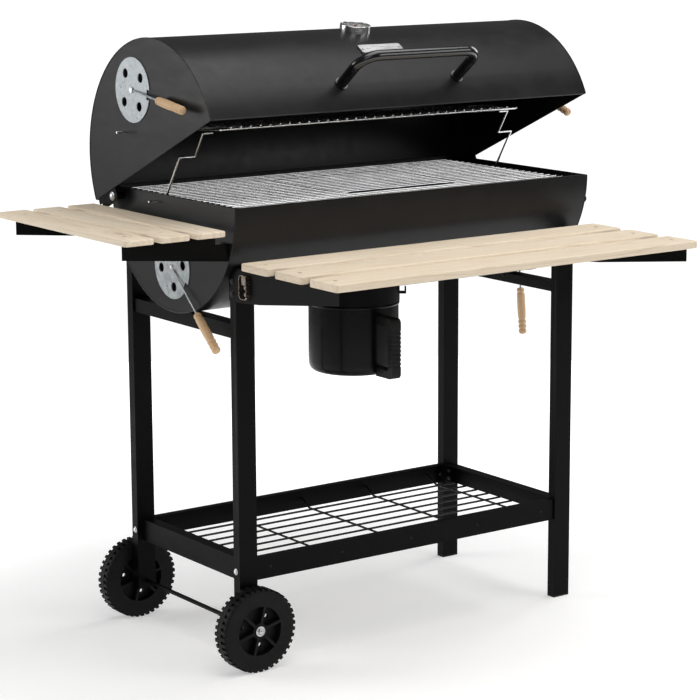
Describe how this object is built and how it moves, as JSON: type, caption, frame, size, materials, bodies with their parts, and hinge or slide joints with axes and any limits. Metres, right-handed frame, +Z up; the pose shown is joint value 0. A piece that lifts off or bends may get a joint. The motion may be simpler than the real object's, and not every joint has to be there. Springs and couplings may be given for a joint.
{
  "type": "barrel charcoal grill",
  "caption": "Barrel charcoal grill on a wheeled stand, with hinged lid, warming rack, damper discs, lift-out grates, ash pot, slatted tables and wire shelf.",
  "frame": {"origin": "floor level under the middle of the whole footprint, tables included", "axes": "+Z up, +X along the barrel away from the wheels, -Y towards the user (lid handle and long table)"},
  "size_m": [1.0578, 0.741, 1.1065],
  "materials": {
    "leg_front_left": "satin black powder coat",
    "leg_back_left": "satin black powder coat",
    "leg_front_right": "satin black powder coat",
    "leg_back_right": "satin black powder coat",
    "foot_caps": "black moulded plastic",
    "cross_rail_left": "satin black powder coat",
    "cross_rail_right": "satin black powder coat",
    "shelf_rail_front": "satin black powder coat",
    "shelf_rail_back": "satin black powder coat",
    "shelf_rail_left": "satin black powder coat",
    "shelf_rail_right": "satin black powder coat",
    "shelf_grid": "satin black powder coat",
    "frame_bolts": "zinc plated",
    "axle": "zinc plated",
    "front_plank_1": "pale sanded softwood",
    "front_plank_2": "pale sanded softwood",
    "front_plank_3": "pale sanded softwood",
    "side_plank_1": "pale sanded softwood",
    "side_plank_2": "pale sanded softwood",
    "side_plank_3": "pale sanded softwood",
    "bracket_front_left": "satin black powder coat",
    "bracket_front_right": "satin black powder coat",
    "bracket_side_near": "satin black powder coat",
    "bracket_side_far": "satin black powder coat",
    "table_screws": "zinc plated",
    "bottle_opener": "chrome plated",
    "firebox_shell": "satin black heat-resistant paint",
    "firebox_end_left": "satin black heat-resistant paint",
    "firebox_end_right": "satin black heat-resistant paint",
    "grate_ledges": "satin black heat-resistant paint",
    "charcoal_grate": "plain steel wire",
    "ash_collar": "satin black heat-resistant paint",
    "hinge_bolts": "zinc plated",
    "lid_shell": "satin black heat-resistant paint",
    "lid_end_left": "satin black heat-resistant paint",
    "lid_end_right": "satin black heat-resistant paint",
    "hinge_plates": "satin black heat-resistant paint",
    "lid_handle": "gloss black",
    "badge": "brushed, blank",
    "thermo_bezel": "chrome plated",
    "thermo_dial": "white printed dial",
    "thermo_glass": "clear",
    "lid_fasteners": "zinc plated",
    "warming_rack": "chrome plated",
    "rack_struts": "chrome plated",
    "wheel_near": "black moulded plastic",
    "wheel_far": "black moulded plastic",
    "ash_pot": "black enamel",
    "ash_pot_handle": "black moulded plastic",
    "cooking_grate": "chrome plated",
    "grate_insert": "chrome plated",
    "damper_low_left": "galvanised",
    "grip_low_left": "turned hardwood",
    "damper_low_right": "galvanised",
    "grip_low_right": "turned hardwood",
    "damper_lid_left": "galvanised",
    "grip_lid_left": "turned hardwood",
    "damper_lid_right": "galvanised",
    "grip_lid_right": "turned hardwood"
  },
  "bodies": {
    "frame": {"leg_front_left": "leg_front_left", "leg_back_left": "leg_back_left", "leg_front_right": "leg_front_right", "leg_back_right": "leg_back_right", "foot_caps": "foot_caps", "cross_rail_left": "cross_rail_left", "cross_rail_right": "cross_rail_right", "shelf_rail_front": "shelf_rail_front", "shelf_rail_back": "shelf_rail_back", "shelf_rail_left": "shelf_rail_left", "shelf_rail_right": "shelf_rail_right", "shelf_grid": "shelf_grid", "frame_bolts": "frame_bolts", "axle": "axle", "front_plank_1": "front_plank_1", "front_plank_2": "front_plank_2", "front_plank_3": "front_plank_3", "side_plank_1": "side_plank_1", "side_plank_2": "side_plank_2", "side_plank_3": "side_plank_3", "bracket_front_left": "bracket_front_left", "bracket_front_right": "bracket_front_right", "bracket_side_near": "bracket_side_near", "bracket_side_far": "bracket_side_far", "table_screws": "table_screws", "bottle_opener": "bottle_opener", "firebox_shell": "firebox_shell", "firebox_end_left": "firebox_end_left", "firebox_end_right": "firebox_end_right", "grate_ledges": "grate_ledges", "charcoal_grate": "charcoal_grate", "ash_collar": "ash_collar", "hinge_bolts": "hinge_bolts"},
    "lid": {"lid_shell": "lid_shell", "lid_end_left": "lid_end_left", "lid_end_right": "lid_end_right", "hinge_plates": "hinge_plates", "lid_handle": "lid_handle", "badge": "badge", "thermo_bezel": "thermo_bezel", "thermo_dial": "thermo_dial", "thermo_glass": "thermo_glass", "lid_fasteners": "lid_fasteners"},
    "warming_rack": {"warming_rack": "warming_rack"},
    "struts": {"rack_struts": "rack_struts"},
    "wheel_near": {"wheel_near": "wheel_near"},
    "wheel_far": {"wheel_far": "wheel_far"},
    "ash_pot": {"ash_pot": "ash_pot", "ash_pot_handle": "ash_pot_handle"},
    "cooking_grate": {"cooking_grate": "cooking_grate"},
    "grate_insert": {"grate_insert": "grate_insert"},
    "vent_low_left": {"damper_low_left": "damper_low_left", "grip_low_left": "grip_low_left"},
    "vent_low_right": {"damper_low_right": "damper_low_right", "grip_low_right": "grip_low_right"},
    "vent_lid_left": {"damper_lid_left": "damper_lid_left", "grip_lid_left": "grip_lid_left"},
    "vent_lid_right": {"damper_lid_right": "damper_lid_right", "grip_lid_right": "grip_lid_right"}
  },
  "joints": [
    {"name": "lid_hinge", "type": "hinge", "parent": "frame", "child": "lid", "pos_m": [0.08712, 0.2945, 0.803], "axis": [-1, 0, 0], "range_deg": [-24, 31]},
    {"name": "rack_pivot", "type": "hinge", "parent": "lid", "child": "warming_rack", "pos_m": [0.08712, 0.23356, 0.92427], "axis": [-1, 0, 0], "range_deg": [-28, 22]},
    {"name": "strut_pivot", "type": "hinge", "parent": "frame", "child": "struts", "pos_m": [0.08712, 0.179, 0.8045], "axis": [-1, 0, 0], "range_deg": [-25, 32]},
    {"name": "vent_low_left_turn", "type": "hinge", "parent": "frame", "child": "vent_low_left", "pos_m": [-0.30388, 0.1295, 0.694], "axis": [1, 0, 0], "range_deg": [0, 45]},
    {"name": "vent_low_right_turn", "type": "hinge", "parent": "frame", "child": "vent_low_right", "pos_m": [0.47813, 0.1295, 0.694], "axis": [-1, 0, 0], "range_deg": [0, 45]},
    {"name": "vent_lid_left_turn", "type": "hinge", "parent": "lid", "child": "vent_lid_left", "pos_m": [-0.32788, 0.21228, 0.99942], "axis": [-1, 0, 0], "range_deg": [0, 45]},
    {"name": "vent_lid_right_turn", "type": "hinge", "parent": "lid", "child": "vent_lid_right", "pos_m": [0.50213, 0.21228, 0.99942], "axis": [-1, 0, 0], "range_deg": [0, 45]},
    {"name": "wheel_near_spin", "type": "hinge", "parent": "frame", "child": "wheel_near", "pos_m": [-0.27237, -0.0724, 0.075], "axis": [0, 1, 0], "continuous": true},
    {"name": "wheel_far_spin", "type": "hinge", "parent": "frame", "child": "wheel_far", "pos_m": [-0.27237, 0.3314, 0.075], "axis": [0, 1, 0], "continuous": true},
    {"name": "ash_pot_slide", "type": "slide", "parent": "frame", "child": "ash_pot", "axis": [0, 0, -1], "range_m": [0, 0.12]},
    {"name": "grate_lift", "type": "slide", "parent": "frame", "child": "cooking_grate", "axis": [0, 0, 1], "range_m": [0, 0.025]},
    {"name": "insert_lift", "type": "slide", "parent": "cooking_grate", "child": "grate_insert", "axis": [0, 0, 1], "range_m": [0, 0.025]}
  ],
  "couplings": [
    {"joint": "rack_pivot", "follows": "lid_hinge", "ratio": -0.863},
    {"joint": "strut_pivot", "follows": "lid_hinge", "ratio": 0.995}
  ]
}
